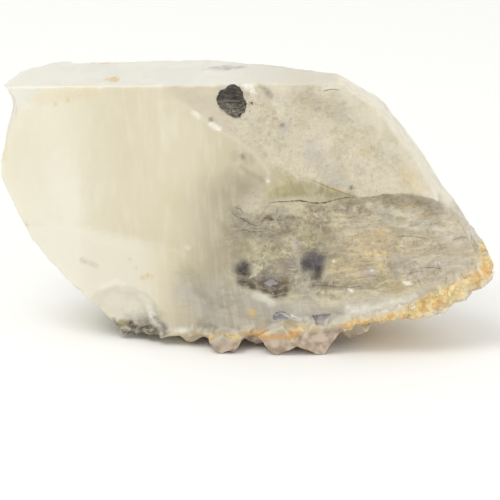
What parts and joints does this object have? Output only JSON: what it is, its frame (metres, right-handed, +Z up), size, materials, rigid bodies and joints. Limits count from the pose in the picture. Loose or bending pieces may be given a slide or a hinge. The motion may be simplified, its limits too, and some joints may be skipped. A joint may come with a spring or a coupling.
{
  "type": "quartz specimen",
  "caption": "Thick tabular quartz crystal, milky at one end and clear at the other, with an iron-stained crust along its lower rim; stands as a display specimen.",
  "frame": {"origin": "middle of the bounding box's base, on the plane that the specimen stands on", "axes": "+X along the length towards the clear end, +Y from the broad front face through the thickness to the back, +Z up"},
  "size_m": [0.0984, 0.0342, 0.0546],
  "materials": {
    "quartz": "gloss",
    "crust": "matte",
    "pale_crystal": "satin",
    "fluorite": "satin",
    "dark_ore": "gloss",
    "iron_stain": "matte"
  },
  "bodies": {
    "root": {"quartz_crystal": "quartz"}
  },
  "joints": []
}
